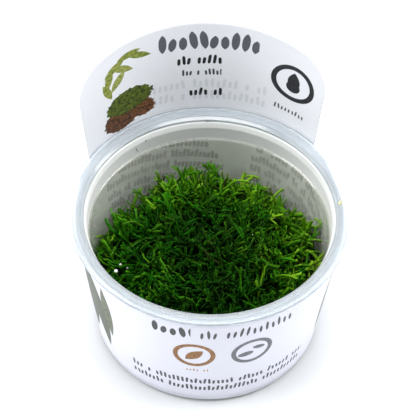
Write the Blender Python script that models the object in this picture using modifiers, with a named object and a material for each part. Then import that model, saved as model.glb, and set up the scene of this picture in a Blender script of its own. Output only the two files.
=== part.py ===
"""Crystalwort in a clear culture cup, with a card sleeve round the cup and a tab that stands up behind it.

Metres, +Z up. The origin is the centre of the cup's base, and the tab stands at +Y.
"""

import math

import bmesh
import bpy
import numpy as np
from mathutils import Matrix

MM = 0.001

# Cup: inner wall, stacking wall and flange, radii and heights in mm
CUP_HEIGHT = 60.0
WALL = 0.8
FLOOR_TOP = 1.0
FLOOR_RADIUS = 39.5
FLOOR_CORNER = 1.2
LEDGE_RADIUS = 43.4
LEDGE_HEIGHT = 49.2
LEDGE_STEP = 0.7
LIP_RADIUS = 45.6
LIP_HEIGHT = 57.8
BEAD_RADIUS = 47.6
BEAD_POINTS = 4
FLANGE_RADIUS = 50.75
FLANGE_HEIGHT = 59.3
FLANGE_EDGE = 1.3
FLANGE_ROUND = 0.3
GROOVE_RADIUS = 32.0
GROOVE_WIDTH = 4.0
GROOVE_DEPTH = 0.4
CUP_STEPS = 56

# Sleeve: a card cone that hugs the cup, pushed out at the back to pass the flange
CARD = 0.3
SLEEVE_FOOT = 1.5
SLEEVE_TOP = 56.8
SLEEVE_FOOT_RADIUS = 41.0
SLEEVE_FLARE = 0.138
TAB_FLANGE_RADIUS = 51.6
TAB_FLARE = 0.14
TAB_HALF_ANGLE = 54.0
TAB_PEAK = 99.9
TAB_SHOULDER = 84.2
TAB_ARCH_DROP = 5.6
TAB_CORNER_SPAN = 12.5
EASE_START = 56.0
EASE_SPAN = 20.0
SLEEVE_COLUMNS = 80
BAND_ROWS = 2
TAB_ROWS = 3

# Gel on the floor
GEL_TOP = 11.3
GEL_MENISCUS = 0.8
GEL_FLAT_RADIUS = 36.5
CLEARANCE = 0.35

# Plant cushion: a lumpy mound that touches the wall low down, and forked thalli on it
CUSHION_FOOT = 12.5
CUSHION_CROWN = 43.0
CUSHION_BACK = 27.5
CUSHION_FRONT = 37.5
CUSHION_LEFT = 28.5
CUSHION_RIGHT = 27.5
CUSHION_DIP = 4.5
DOME_POWER = 2.4
LUMP_HEIGHT = 2.2
CUSHION_SIDES = 34
CROWN_RINGS = 9
SIDE_RINGS = 2
BASE_RINGS = 2
SPRIG_COUNT = 76
SPRIG_ROOT = 3.4
SPRIG_LENGTH = (10.0, 13.5)
SPRIG_WIDTH = 2.1
SPRIG_THICKNESS = 0.9
SPRIG_WALL_GAP = 0.8
SPRIG_SPREAD = 0.95
SPRIG_LEAN = 0.6
SPRIG_LEAN_OUT = (0.2, 0.5)
SPRIG_TURN = 0.8
SPRIG_CURL = 0.35
SEED = 16

# Lumps of the cushion: each wave's length in mm, heading and phase in radians, and share of the lumps' height
LUMP_WAVES = [
    (26.0, 0.4, 1.0, 0.3),
    (17.0, 1.7, 2.2, 0.35),
    (12.0, 2.6, 0.3, 0.35),
    (8.0, 0.9, 4.0, 0.25),
]

CLEAR_PLASTIC = (0.86, 0.89, 0.90)
WHITE_CARD = (0.90, 0.91, 0.92)
PALE_GEL = (0.83, 0.82, 0.74)
PLANT_GREEN = (0.05, 0.22, 0.01)


def wall_radius(height):
    """Inner radius of the cup's body wall, in mm, at a height in mm."""
    slope = (LEDGE_RADIUS - FLOOR_RADIUS) / (LEDGE_HEIGHT - FLOOR_TOP)
    return FLOOR_RADIUS + slope * (height - FLOOR_TOP)


def material(name, colour, roughness, transmission=0.0):
    """A Principled BSDF material for one sub-part."""
    made = bpy.data.materials.new(name)
    made.use_nodes = True
    shader = made.node_tree.nodes["Principled BSDF"]
    shader.inputs["Base Color"].default_value = (*colour, 1.0)
    shader.inputs["Roughness"].default_value = roughness
    shader.inputs["Metallic"].default_value = 0.0
    shader.inputs["Transmission Weight"].default_value = transmission
    made.diffuse_color = (*colour, 1.0)
    return made


def add_object(name, mesh, collection, finish=None):
    """An object for a mesh in a collection, with its material."""
    made = bpy.data.objects.new(name, mesh)
    collection.objects.link(made)
    if finish:
        mesh.materials.append(finish)
    return made


def turned(name, profile, steps, collection, finish):
    """A solid of revolution: a profile in mm from the axis round the outer side and back to the axis."""
    mesh = bpy.data.meshes.new(name)
    points = [(radius * MM, 0.0, height * MM) for radius, height in profile]
    mesh.from_pydata(points, [(i, i + 1) for i in range(len(points) - 1)], [])
    made = add_object(name, mesh, collection, finish)
    screw = made.modifiers.new("Turn", "SCREW")
    screw.steps = steps
    screw.render_steps = steps
    screw.use_merge_vertices = True
    screw.merge_threshold = 0.00001
    return made


def arc(centre, radius, start, end, count):
    """Points on an arc, in mm, from one angle to another in degrees."""
    angles = [math.radians(start + (end - start) * i / count) for i in range(count + 1)]
    return [(centre[0] + radius * math.cos(a), centre[1] + radius * math.sin(a)) for a in angles]


def build_cup(collection):
    """The tub: up the inside from the floor's centre, over the flange, and down the outside to the base."""
    bead_height = CUP_HEIGHT - (BEAD_RADIUS - LIP_RADIUS)
    bead = arc((BEAD_RADIUS, bead_height), BEAD_RADIUS - LIP_RADIUS, 180, 50, BEAD_POINTS)
    groove_out = GROOVE_RADIUS + GROOVE_WIDTH / 2
    groove_in = GROOVE_RADIUS - GROOVE_WIDTH / 2
    inside = [
        (0.0, FLOOR_TOP),
        (FLOOR_RADIUS - FLOOR_CORNER, FLOOR_TOP),
        (FLOOR_RADIUS, FLOOR_TOP + FLOOR_CORNER),
        (LEDGE_RADIUS, LEDGE_HEIGHT),
        (LEDGE_RADIUS + LEDGE_STEP, LEDGE_HEIGHT + LEDGE_STEP),
    ]
    brim = [
        (FLANGE_RADIUS - FLANGE_ROUND, FLANGE_HEIGHT),
        (FLANGE_RADIUS, FLANGE_HEIGHT - FLANGE_ROUND),
        (FLANGE_RADIUS, FLANGE_HEIGHT - FLANGE_EDGE),
        (FLANGE_RADIUS - WALL, FLANGE_HEIGHT - FLANGE_EDGE),
        (BEAD_RADIUS, FLANGE_HEIGHT - WALL),
    ]
    outside = [
        (LIP_RADIUS + WALL, LIP_HEIGHT - WALL / 2),
        (LEDGE_RADIUS + LEDGE_STEP + WALL, LEDGE_HEIGHT),
        (LEDGE_RADIUS + WALL, LEDGE_HEIGHT - WALL),
        (FLOOR_RADIUS + WALL, FLOOR_CORNER),
        (FLOOR_RADIUS, 0.0),
        (groove_out, 0.0),
        (groove_out - GROOVE_DEPTH, GROOVE_DEPTH),
        (groove_in + GROOVE_DEPTH, GROOVE_DEPTH),
        (groove_in, 0.0),
        (0.0, 0.0),
    ]
    finish = material("clear_polypropylene", CLEAR_PLASTIC, 0.12, 0.9)
    return turned("cup", inside + bead + brim + outside, CUP_STEPS, collection, finish)


def build_gel(collection):
    """The gel: a disc with a raised edge where it wets the wall."""
    profile = [
        (0.0, GEL_TOP),
        (GEL_FLAT_RADIUS, GEL_TOP),
        (wall_radius(GEL_TOP + GEL_MENISCUS) - CLEARANCE, GEL_TOP + GEL_MENISCUS),
        (FLOOR_RADIUS - CLEARANCE, FLOOR_TOP + FLOOR_CORNER + CLEARANCE),
        (FLOOR_RADIUS - FLOOR_CORNER - CLEARANCE, FLOOR_TOP + CLEARANCE),
        (0.0, FLOOR_TOP + CLEARANCE),
    ]
    finish = material("agar_gel", PALE_GEL, 0.2, 0.4)
    return turned("nutrient_gel", profile, CUP_STEPS, collection, finish)


def tab_top(angle):
    """Height of the tab's outline at an angle from its middle: a shallow arch with round shoulders."""
    arch = TAB_PEAK - TAB_ARCH_DROP * (angle / TAB_HALF_ANGLE) ** 2
    into = max(0.0, abs(angle) - (TAB_HALF_ANGLE - TAB_CORNER_SPAN)) / TAB_CORNER_SPAN
    fall = 1.0 - math.sqrt(max(0.0, 1.0 - into * into))
    return arch - fall * (TAB_PEAK - TAB_ARCH_DROP - TAB_SHOULDER)


def sleeve_radius(angle, height):
    """Outer radius of the card: the cone, eased out to the tab's own flare over the back."""
    cone = SLEEVE_FOOT_RADIUS + SLEEVE_FLARE * (height - SLEEVE_FOOT)
    flare_base = TAB_FLANGE_RADIUS + TAB_FLARE * (height - FLANGE_HEIGHT)
    side = 1.0 - min(1.0, max(0.0, (abs(angle) - EASE_START) / EASE_SPAN))
    side = side * side * (3.0 - 2.0 * side)
    up = min(1.0, max(0.0, (height - SLEEVE_FOOT) / (SLEEVE_TOP - SLEEVE_FOOT)))
    return cone + (flare_base - cone) * side * (up if height < SLEEVE_TOP else 1.0)


def build_sleeve(collection):
    """The card: a grid bent round the cup, whose upper rows stay only where the tab stands."""
    sheet = bmesh.new()
    rows = BAND_ROWS + TAB_ROWS
    bmesh.ops.create_grid(sheet, x_segments=SLEEVE_COLUMNS, y_segments=rows, size=1.0)
    spare = []
    for face in sheet.faces:
        middle = face.calc_center_median()
        row = (middle.y + 1.0) / 2.0 * rows
        if row > BAND_ROWS and abs(middle.x) * 180.0 > TAB_HALF_ANGLE:
            spare.append(face)
    bmesh.ops.delete(sheet, geom=spare, context="FACES")
    for vert in sheet.verts:
        angle = vert.co.x * 180.0
        row = (vert.co.y + 1.0) / 2.0 * rows
        if row <= BAND_ROWS + 0.01:
            height = SLEEVE_FOOT + (SLEEVE_TOP - SLEEVE_FOOT) * row / BAND_ROWS
        else:
            height = SLEEVE_TOP + (tab_top(angle) - SLEEVE_TOP) * (row - BAND_ROWS) / TAB_ROWS
        radius = sleeve_radius(angle, height) * MM
        turn = math.radians(angle)
        vert.co = (radius * math.sin(turn), radius * math.cos(turn), height * MM)
    bmesh.ops.remove_doubles(sheet, verts=sheet.verts, dist=0.00001)
    bmesh.ops.recalc_face_normals(sheet, faces=sheet.faces)
    mesh = bpy.data.meshes.new("label_sleeve")
    sheet.to_mesh(mesh)
    sheet.free()
    finish = material("coated_card", WHITE_CARD, 0.45)
    made = add_object("label_sleeve", mesh, collection, finish)
    shell = made.modifiers.new("Card", "SOLIDIFY")
    shell.thickness = CARD * MM
    shell.offset = -1.0
    return made


def cushion_edge(angle):
    """Height in mm where the cushion meets the wall, at an angle in radians from +X: one height on each side, and
    a dip between the back and either side."""
    right = max(0.0, math.cos(angle)) ** 2
    left = max(0.0, -math.cos(angle)) ** 2
    back = max(0.0, math.sin(angle)) ** 2
    front = max(0.0, -math.sin(angle)) ** 2
    dip = CUSHION_DIP * math.sin(2.0 * angle) ** 2 if math.sin(angle) > 0.0 else 0.0
    return CUSHION_RIGHT * right + CUSHION_LEFT * left + CUSHION_BACK * back + CUSHION_FRONT * front - dip


def lumps(x, y):
    """The tufts over the plan: a sum of cosine waves, each along its own heading, from about -1 to 1."""
    total = 0.0
    for length, heading, phase, weight in LUMP_WAVES:
        along = x * math.cos(heading) + y * math.sin(heading)
        total += weight * math.cos(along * math.tau / length + phase)
    return total


def cushion_top(x, y):
    """Height in mm of the cushion's crown over a point of the plan: a dome with lumps."""
    angle = math.atan2(y, x)
    edge = cushion_edge(angle)
    share = min(1.0, math.hypot(x, y) / wall_radius(edge))
    dome = edge + (CUSHION_CROWN - edge) * (1.0 - share**DOME_POWER)
    return dome + lumps(x, y) * LUMP_HEIGHT * (1.0 - 0.5 * share)


def build_cushion(collection):
    """The mound: a ball whose rings become the crown, the side along the wall and the flat foot."""
    ball = bmesh.new()
    rings = CROWN_RINGS + SIDE_RINGS + BASE_RINGS
    bmesh.ops.create_uvsphere(ball, u_segments=CUSHION_SIDES, v_segments=rings, radius=1.0)
    for vert in ball.verts:
        angle = math.atan2(vert.co.y, vert.co.x)
        ring = math.acos(max(-1.0, min(1.0, vert.co.z))) / math.pi * rings
        edge = cushion_edge(angle)
        if ring <= CROWN_RINGS + 0.01:
            share = (ring / CROWN_RINGS) ** 0.85
            reach = (wall_radius(edge) - CLEARANCE * 1.5) * share
            height = cushion_top(reach * math.cos(angle), reach * math.sin(angle))
        elif ring <= CROWN_RINGS + SIDE_RINGS + 0.01:
            down = (ring - CROWN_RINGS) / SIDE_RINGS
            rim = cushion_top(wall_radius(edge) * math.cos(angle), wall_radius(edge) * math.sin(angle))
            height = rim + (CUSHION_FOOT - rim) * down
            reach = wall_radius(height) - CLEARANCE * 1.5
        else:
            height = CUSHION_FOOT
            reach = (wall_radius(height) - CLEARANCE * 1.5) * (rings - ring) / BASE_RINGS
        vert.co = (reach * math.cos(angle) * MM, reach * math.sin(angle) * MM, height * MM)
    bmesh.ops.recalc_face_normals(ball, faces=ball.faces)
    mesh = bpy.data.meshes.new("crystalwort")
    ball.to_mesh(mesh)
    ball.free()
    finish = material("crystalwort_green", PLANT_GREEN, 0.5)
    return add_object("crystalwort", mesh, collection, finish)


def fork_outline(twice):
    """One side to the other round a thallus that forks once or twice, as points of a unit length."""
    half = 0.5 * SPRIG_WIDTH / SPRIG_LENGTH[0]
    tip = 0.7 * half
    if twice:
        right = [
            (half, 0.0),
            (half, 0.36),
            (0.22 + tip, 0.66),
            (0.38 + tip, 0.93),
            (0.38 - tip, 0.97),
            (0.22, 0.76),
            (0.15 + tip, 1.0),
            (0.15 - tip, 0.99),
        ]
    else:
        right = [(half, 0.0), (half, 0.48), (0.26 + tip, 0.97), (0.26 - tip, 1.0)]
    crotch = [(0.0, 0.5 if twice else 0.62)]
    left = [(-x, y * 0.96) for x, y in reversed(right)]
    return right + crotch + left


def sprig_mesh(twice):
    """A flat forked sprig: its outline as a filled 2D curve with a thickness, its caps welded."""
    curve = bpy.data.curves.new("thallus", "CURVE")
    curve.dimensions = "2D"
    curve.fill_mode = "BOTH"
    curve.extrude = SPRIG_THICKNESS / SPRIG_LENGTH[0] / 2.0
    outline = fork_outline(twice)
    spline = curve.splines.new("POLY")
    spline.points.add(len(outline) - 1)
    for point, (x, y) in zip(spline.points, outline):
        point.co = (x, y, 0.0, 1.0)
    spline.use_cyclic_u = True
    drawn = bpy.data.objects.new("thallus", curve)
    bpy.context.scene.collection.objects.link(drawn)
    bpy.context.view_layer.update()
    mesh = bpy.data.meshes.new_from_object(drawn.evaluated_get(bpy.context.evaluated_depsgraph_get()))
    bpy.data.objects.remove(drawn)
    welded = bmesh.new()
    welded.from_mesh(mesh)
    bmesh.ops.remove_doubles(welded, verts=welded.verts, dist=0.0001)
    bmesh.ops.recalc_face_normals(welded, faces=welded.faces)
    welded.to_mesh(mesh)
    welded.free()
    return mesh


def curled(outline, length, bend):
    """A sprig's points in mm: scaled to its length, and curled over by the square of the height."""
    across, up, through = outline.T * length
    curl = bend * length * outline[:, 1] ** 2
    return np.column_stack((across, up * (1.0 - 0.3 * abs(bend) * outline[:, 1]), through + curl))


def kept_off_wall(points):
    """A sprig moved straight towards the axis by as much as its furthest point comes too near the wall."""
    reach = np.hypot(points[:, 0], points[:, 1])
    excess = max(0.0, (reach - wall_radius(np.minimum(points[:, 2], LEDGE_HEIGHT)) + SPRIG_WALL_GAP).max())
    inward = -points[reach.argmax(), :2] / reach.max()
    return points + np.append(inward * excess, 0.0)


def build_sprigs(collection):
    """All the thalli in one mesh, set over the crown at the golden angle and leaning outwards."""
    draw = np.random.default_rng(SEED)
    designs = [sprig_mesh(False), sprig_mesh(True)]
    golden = math.pi * (3.0 - math.sqrt(5.0))
    tuft = bmesh.new()
    for number in range(SPRIG_COUNT):
        share = math.sqrt((number + 0.5) / SPRIG_COUNT) * SPRIG_SPREAD
        angle = number * golden
        reach = share * (wall_radius(cushion_edge(angle)) - SPRIG_WALL_GAP)
        x, y = reach * math.cos(angle), reach * math.sin(angle)
        lean = Matrix.Rotation(SPRIG_LEAN + share * draw.uniform(*SPRIG_LEAN_OUT), 4, "Y")
        heading = Matrix.Rotation(angle + draw.uniform(-SPRIG_TURN, SPRIG_TURN), 4, "Z")
        spin = Matrix.Rotation(draw.uniform(0.0, math.tau), 4, "Z")
        upright = spin @ Matrix.Rotation(math.pi / 2, 4, "X")
        turn = np.array((heading @ lean @ upright).to_3x3())
        root = np.array((x, y, cushion_top(x, y) - SPRIG_ROOT))
        design = designs[number % 5 in (0, 2)]
        outline = np.array([vert.co for vert in design.vertices])
        points = curled(outline, draw.uniform(*SPRIG_LENGTH), draw.uniform(-SPRIG_CURL, SPRIG_CURL))
        placed = kept_off_wall(points @ turn.T + root)
        start = len(tuft.verts)
        tuft.from_mesh(design)
        tuft.verts.ensure_lookup_table()
        for vert, point in zip(tuft.verts[start:], placed):
            vert.co = point * MM
    mesh = bpy.data.meshes.new("sprigs")
    tuft.to_mesh(mesh)
    tuft.free()
    made = add_object("sprigs", mesh, collection)
    made.hide_render = True
    made.display_type = "WIRE"
    return made


def grow(cushion, sprigs):
    """The sprigs joined to the cushion as one grown body."""
    union = cushion.modifiers.new("Grown together", "BOOLEAN")
    union.operation = "UNION"
    union.object = sprigs
    union.use_self = True


def main():
    for old in list(bpy.data.objects):
        bpy.data.objects.remove(old)
    parts = bpy.data.collections.new("crystalwort_in_cup")
    guides = bpy.data.collections.new("guides")
    bpy.context.scene.collection.children.link(parts)
    bpy.context.scene.collection.children.link(guides)
    cup = build_cup(parts)
    gel = build_gel(parts)
    sleeve = build_sleeve(parts)
    for made in (cup, gel, sleeve):
        made.data.shade_smooth()
    grow(build_cushion(parts), build_sprigs(guides))


main()
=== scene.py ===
"""Crystalwort in its culture cup: its looks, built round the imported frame. Metres, +Z up, the tab at +Y."""

import math

import bpy
import numpy as np
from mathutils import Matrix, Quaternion, Vector


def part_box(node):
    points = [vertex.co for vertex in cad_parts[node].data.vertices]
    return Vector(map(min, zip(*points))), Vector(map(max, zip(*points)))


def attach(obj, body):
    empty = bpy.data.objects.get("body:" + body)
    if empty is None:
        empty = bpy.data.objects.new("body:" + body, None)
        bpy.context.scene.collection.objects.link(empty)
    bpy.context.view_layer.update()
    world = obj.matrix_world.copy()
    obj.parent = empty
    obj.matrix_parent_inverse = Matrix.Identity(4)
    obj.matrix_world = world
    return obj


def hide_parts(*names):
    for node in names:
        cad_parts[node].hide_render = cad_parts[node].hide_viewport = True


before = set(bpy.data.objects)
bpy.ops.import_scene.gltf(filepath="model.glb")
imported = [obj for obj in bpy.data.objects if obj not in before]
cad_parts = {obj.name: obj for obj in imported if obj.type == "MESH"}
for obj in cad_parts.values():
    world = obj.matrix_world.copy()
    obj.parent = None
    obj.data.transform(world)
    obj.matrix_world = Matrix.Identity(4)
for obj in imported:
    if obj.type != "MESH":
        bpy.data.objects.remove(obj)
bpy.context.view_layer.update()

# Cup
# An injection-moulded tub of thin polypropylene, with a ledge, a short stacking wall and a flat flange. It
# was moulded in one shot, so it is one turned shell, and its plastic is a little milky where it is thick.
MM = 0.001
cup_low, cup_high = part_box("cup")
FLANGE_RADIUS = (cup_high[0] - cup_low[0]) / 2 / MM
FLANGE_HEIGHT = (cup_high[2] - cup_low[2]) / MM - 0.7
FLANGE_EDGE = 1.3
WALL = 0.8
FLOOR_TOP = 1.0
FLOOR_RADIUS = 39.5
FLOOR_CORNER = 1.2
LEDGE_RADIUS = 43.4
LEDGE_HEIGHT = 49.2
LEDGE_STEP = 0.7
LIP_RADIUS = 45.6
BEAD_RADIUS = 47.6
GROOVE = (34.0, 30.0, 0.4)
CUP_STEPS = 192
# The stacking wall starts at the first of these heights, and the flange at the second.
LEDGE_TOP = 49.75
LIP_FOOT = 57.3


def add_node(tree, kind, inputs=None, **settings):
    """One shader node: its kind, its settings, then its inputs, each a value or a socket to link from."""
    node = tree.nodes.new("ShaderNode" + kind)
    for name, value in settings.items():
        setattr(node, name, value)
    for name, value in (inputs or {}).items():
        if isinstance(value, bpy.types.NodeSocket):
            tree.links.new(value, node.inputs[name])
        else:
            node.inputs[name].default_value = value
    return node


def linear(code):
    """An sRGB hex colour as linear RGBA: c / 12.92 up to 0.04045, and ((c + 0.055) / 1.055)^2.4 above it."""
    parts = [int(code[i : i + 2], 16) / 255.0 for i in (1, 3, 5)]
    return tuple(c / 12.92 if c <= 0.04045 else ((c + 0.055) / 1.055) ** 2.4 for c in parts) + (1.0,)


def new_material(name, **values):
    """A material with its Principled shader's own values set, and its node tree and shader."""
    material = bpy.data.materials.new(name)
    material.use_nodes = True
    tree = material.node_tree
    shader = tree.nodes["Principled BSDF"]
    for key, value in values.items():
        shader.inputs[key.replace("_", " ")].default_value = value
    return material, tree, shader


def mesh_object(name, points, faces, materials):
    """A smooth piece at the origin from arrays: points in mm, and faces as arrays of equal-sided rows."""
    groups = [np.asarray(group) for group in faces]
    mesh = bpy.data.meshes.new(name)
    mesh.vertices.add(len(points))
    mesh.vertices.foreach_set("co", np.asarray(points, np.float32).ravel() * MM)
    corners = np.concatenate([group.ravel() for group in groups]).astype(np.int32)
    sides = np.concatenate([np.full(len(group), group.shape[1]) for group in groups])
    mesh.loops.add(len(corners))
    mesh.loops.foreach_set("vertex_index", corners)
    mesh.polygons.add(len(sides))
    mesh.polygons.foreach_set("loop_start", np.concatenate([[0], np.cumsum(sides)[:-1]]).astype(np.int32))
    mesh.update(calc_edges=True)
    mesh.polygons.foreach_set("use_smooth", np.full(len(sides), True))
    for material in materials:
        mesh.materials.append(material)
    piece = bpy.data.objects.new(name, mesh)
    bpy.context.scene.collection.objects.link(piece)
    return piece


def rounded(corners, count=4):
    """A profile with its corners rounded: at each (radius, height, round) the corner is the middle point of a
    quadratic curve from `round` mm before it to `round` mm after it, (1 - s)² a + 2 s (1 - s) c + s² b."""
    path = np.array([corner[:2] for corner in corners], float)
    rows = [path[:1]]
    share = np.linspace(0.0, 1.0, count + 1)[:, None]
    for i in range(1, len(corners) - 1):
        size = corners[i][2]
        before, after = path[i - 1] - path[i], path[i + 1] - path[i]
        start = path[i] + before / np.linalg.norm(before) * size
        end = path[i] + after / np.linalg.norm(after) * size
        rows.append((1 - share) ** 2 * start + 2 * share * (1 - share) * path[i] + share**2 * end)
    return np.concatenate(rows + [path[-1:]])


def turned(profile, steps):
    """A solid of revolution: the profile starts and ends on the axis, and every point between them is carried
    round it as (r sin a, r cos a, z)."""
    angle = np.linspace(0.0, 2 * np.pi, steps, endpoint=False)
    ring = profile[1:-1]
    grid = np.empty((len(ring), steps, 3))
    grid[..., 0] = ring[:, :1] * np.sin(angle)
    grid[..., 1] = ring[:, :1] * np.cos(angle)
    grid[..., 2] = ring[:, 1:]
    points = np.concatenate([grid.reshape(-1, 3), [[0, 0, profile[0, 1]], [0, 0, profile[-1, 1]]]])
    index = np.arange(len(ring) * steps).reshape(len(ring), steps)
    beside = np.roll(index, -1, axis=1)
    quads = np.stack([index[:-1], beside[:-1], beside[1:], index[1:]], -1).reshape(-1, 4)
    top, foot = len(points) - 2, len(points) - 1
    first = np.stack([np.full(steps, top), beside[0], index[0]], -1)
    last = np.stack([np.full(steps, foot), index[-1], beside[-1]], -1)
    return points, quads, np.concatenate([first, last])


def cup_profile():
    """The tub's outline from the floor's middle up the inside, over the flange, and down to the base, as
    (radius, height, round) in mm."""
    inside = [
        (0.0, FLOOR_TOP, 0.0),
        (FLOOR_RADIUS - FLOOR_CORNER / 2, FLOOR_TOP, 1.0),
        (FLOOR_RADIUS, FLOOR_TOP + FLOOR_CORNER, 0.6),
        (LEDGE_RADIUS, LEDGE_HEIGHT, 0.15),
        (LEDGE_RADIUS + LEDGE_STEP, LEDGE_HEIGHT + LEDGE_STEP * 0.7, 0.3),
        (44.25, 55.0, 0.4),
        (45.0, 56.9, 0.2),
        (45.4, 57.25, 0.1),
        (45.4, 58.15, 0.1),
        (46.7, 58.75, 0.1),
        (46.95, 59.1, 0.12),
        (49.4, FLANGE_HEIGHT - 0.05, 0.1),
        (49.6, FLANGE_HEIGHT - 0.25, 0.1),
        (49.8, FLANGE_HEIGHT - 0.05, 0.1),
    ]
    under = FLANGE_HEIGHT - WALL
    outside = [
        (FLANGE_RADIUS, FLANGE_HEIGHT, 0.3),
        (FLANGE_RADIUS, FLANGE_HEIGHT - FLANGE_EDGE, 0.1),
        (FLANGE_RADIUS - WALL, FLANGE_HEIGHT - FLANGE_EDGE, 0.1),
        (FLANGE_RADIUS - WALL, under, 0.2),
        (BEAD_RADIUS, under, 0.4),
        (LIP_RADIUS + WALL, under - 1.6, 0.4),
        (LEDGE_RADIUS + LEDGE_STEP + WALL, LEDGE_HEIGHT, 0.3),
        (LEDGE_RADIUS + WALL, LEDGE_HEIGHT - WALL, 0.3),
        (FLOOR_RADIUS + WALL, FLOOR_CORNER, 0.5),
        (FLOOR_RADIUS, 0.0, 0.5),
    ]
    outer, inner, deep = GROOVE
    groove = [(outer, 0.0, 0.15), (outer - deep, deep, 0.15), (inner + deep, deep, 0.15), (inner, 0.0, 0.15)]
    return rounded(inside + outside + groove + [(0.0, 0.0, 0.0)])


def polypropylene(name, wave, **values):
    """Moulded polypropylene, clear with a milky cast. The mould's polish leaves slow waves about 4.5 mm long,
    of a given strength, that make its glints swim."""
    material, tree, shader = new_material(name, IOR=1.49, **values)
    place = add_node(tree, "TexCoord").outputs["Object"]
    waves = add_node(tree, "TexNoise", {"Vector": place, "Scale": 1 / (4.5 * MM), "Detail": 2.0})
    bumps = {"Height": waves.outputs["Fac"], "Strength": wave, "Distance": 0.3 * MM}
    bump = add_node(tree, "Bump", bumps)
    tree.links.new(bump.outputs["Normal"], shader.inputs["Normal"])
    return material


def seen_along(material, across, along):
    """Sets a colour that goes from one hex code where a surface is seen square on to another where it is seen
    along itself: a painted sheen on thick milky plastic, by (1 - facing) from 0.35 to 0.85."""
    tree = material.node_tree
    facing = add_node(tree, "LayerWeight", {"Blend": 0.5}).outputs["Facing"]
    blend = add_node(tree, "MapRange", {"Value": facing, "From Min": 0.35, "From Max": 0.85})
    ends = {0: blend.outputs[0], 6: linear(across), 7: linear(along)}
    tone = add_node(tree, "Mix", ends, data_type="RGBA")
    tree.links.new(tone.outputs[2], tree.nodes["Principled BSDF"].inputs["Base Color"])


# The wall is thin and clear. The stacking wall and the corner of the foot are milky plastic, with a painted
# sheen that whitens them most where they are seen along themselves, and the foot's corner is painted pale to
# lift the shade along the foot. The flange is clearer again, with a cast of blue.
clear_wall = polypropylene(
    "clear_polypropylene",
    0.06,
    Roughness=0.03,
    Transmission_Weight=0.78,
    Base_Color=linear("#fdfff6"),
)
milky_sheen_rim = polypropylene("milky_polypropylene_sheen", 0.05, Roughness=0.2, Transmission_Weight=0.1)
seen_along(milky_sheen_rim, "#d3d6d4", "#ffffff")
blue_flange = polypropylene(
    "flange_polypropylene",
    0.0,
    Roughness=0.12,
    Transmission_Weight=0.7,
    Base_Color=linear("#dce4ea"),
    Specular_IOR_Level=0.9,
)
points, quads, fans = turned(cup_profile(), CUP_STEPS)
cup = mesh_object("clear_cup", points, (quads, fans), [clear_wall, milky_sheen_rim, blue_flange])
face_height = points[quads, 2].mean(1)
zone = np.digitize(face_height, (LEDGE_TOP, LIP_FOOT))
# The foot's corner takes the milky plastic too: painted pale over the shade along the foot.
zone[face_height < FLOOR_CORNER] = 1
zone = np.concatenate([zone, np.zeros(len(fans))])
cup.data.polygons.foreach_set("material_index", zone.astype(np.int32))
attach(cup, "root")
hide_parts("cup")

# Gel
# Set agar on the floor of the cup: cloudy, wet and slightly yellow. It was poured hot, so its top is level
# and climbs the wall a little where it wets the plastic.
GEL_TOP = 11.3
GEL_RISE = 0.8
GEL_SHORE = 1.6
GEL_CLEARANCE = 0.35
GEL_STEPS = 128


def wall_radius(height):
    """Inner radius of the tub's body wall, in mm, at a height in mm: a straight slope from floor to ledge."""
    slope = (LEDGE_RADIUS - FLOOR_RADIUS) / (LEDGE_HEIGHT - FLOOR_TOP)
    return FLOOR_RADIUS + slope * (np.asarray(height) - FLOOR_TOP)


# Cloudy agar lets light through a faintly yellow body, and its wet top ripples about every 7 mm.
agar, tree, shader = new_material(
    "culture_agar", Roughness=0.12, IOR=1.34, Transmission_Weight=0.55, Base_Color=linear("#e9e6d2")
)
place = add_node(tree, "TexCoord").outputs["Object"]
ripple = add_node(tree, "TexNoise", {"Vector": place, "Scale": 1 / (7.0 * MM), "Detail": 3.0})
bumps = {"Height": ripple.outputs["Fac"], "Strength": 0.3, "Distance": 0.6 * MM}
tree.links.new(add_node(tree, "Bump", bumps).outputs["Normal"], shader.inputs["Normal"])
wet = float(wall_radius(GEL_TOP + GEL_RISE)) - GEL_CLEARANCE
gel_outline = [
    (0.0, GEL_TOP, 0.0),
    (wet - GEL_SHORE, GEL_TOP, 1.2),
    (wet, GEL_TOP + GEL_RISE, 0.15),
    (FLOOR_RADIUS - GEL_CLEARANCE, FLOOR_TOP + FLOOR_CORNER + GEL_CLEARANCE, 0.5),
    (FLOOR_RADIUS - FLOOR_CORNER - GEL_CLEARANCE, FLOOR_TOP + GEL_CLEARANCE, 0.5),
    (0.0, FLOOR_TOP + GEL_CLEARANCE, 0.0),
]
points, quads, fans = turned(rounded(gel_outline), GEL_STEPS)
gel = mesh_object("culture_gel", points, (quads, fans), [agar])
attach(gel, "root")
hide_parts("nutrient_gel")

# Plant
# Crystalwort grows as narrow ribbons about a millimetre wide that fork again and again. Over a thousand of
# them lie in tufts in one cushion: fresh green tips outside, and old growth inside, darkened by painted
# shade.
CROWN = 42.5
DOME_POWER = 2.4
LUMP_HEIGHT = 2.2
LUMP_WAVES = ((26, 0.4, 1.0, 0.3), (17, 1.7, 2.2, 0.35), (12, 2.6, 0.3, 0.35), (8, 0.9, 4.0, 0.25))
WALL_GAP = 0.45
SEED = 7
TUFTS = 330
TUFT_SPREAD = 2.3
TUFT_MARGIN = 2.5
THALLI = 1600
THALLUS_MARGIN = 0.8
THALLUS_SIZES = (0.72, 1.05)
THALLUS_WIDTHS = (0.95, 1.35)
ROOT_REACH = 7.5
# The depth of a thallus's middle under the cushion's top is drawn from a gamma spread: its shape and scale.
DEPTHS = (1.5, 1.7)
# Shares of the thalli: painted brighter as out in the light, withered, and with no, one or two forked arms.
LIT_SHARE = 0.22
WITHERED_SHARE = 0.01
FORK_SHARES = (0.35, 0.4, 0.25)
CENTRE_SHARE = 0.48
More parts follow.
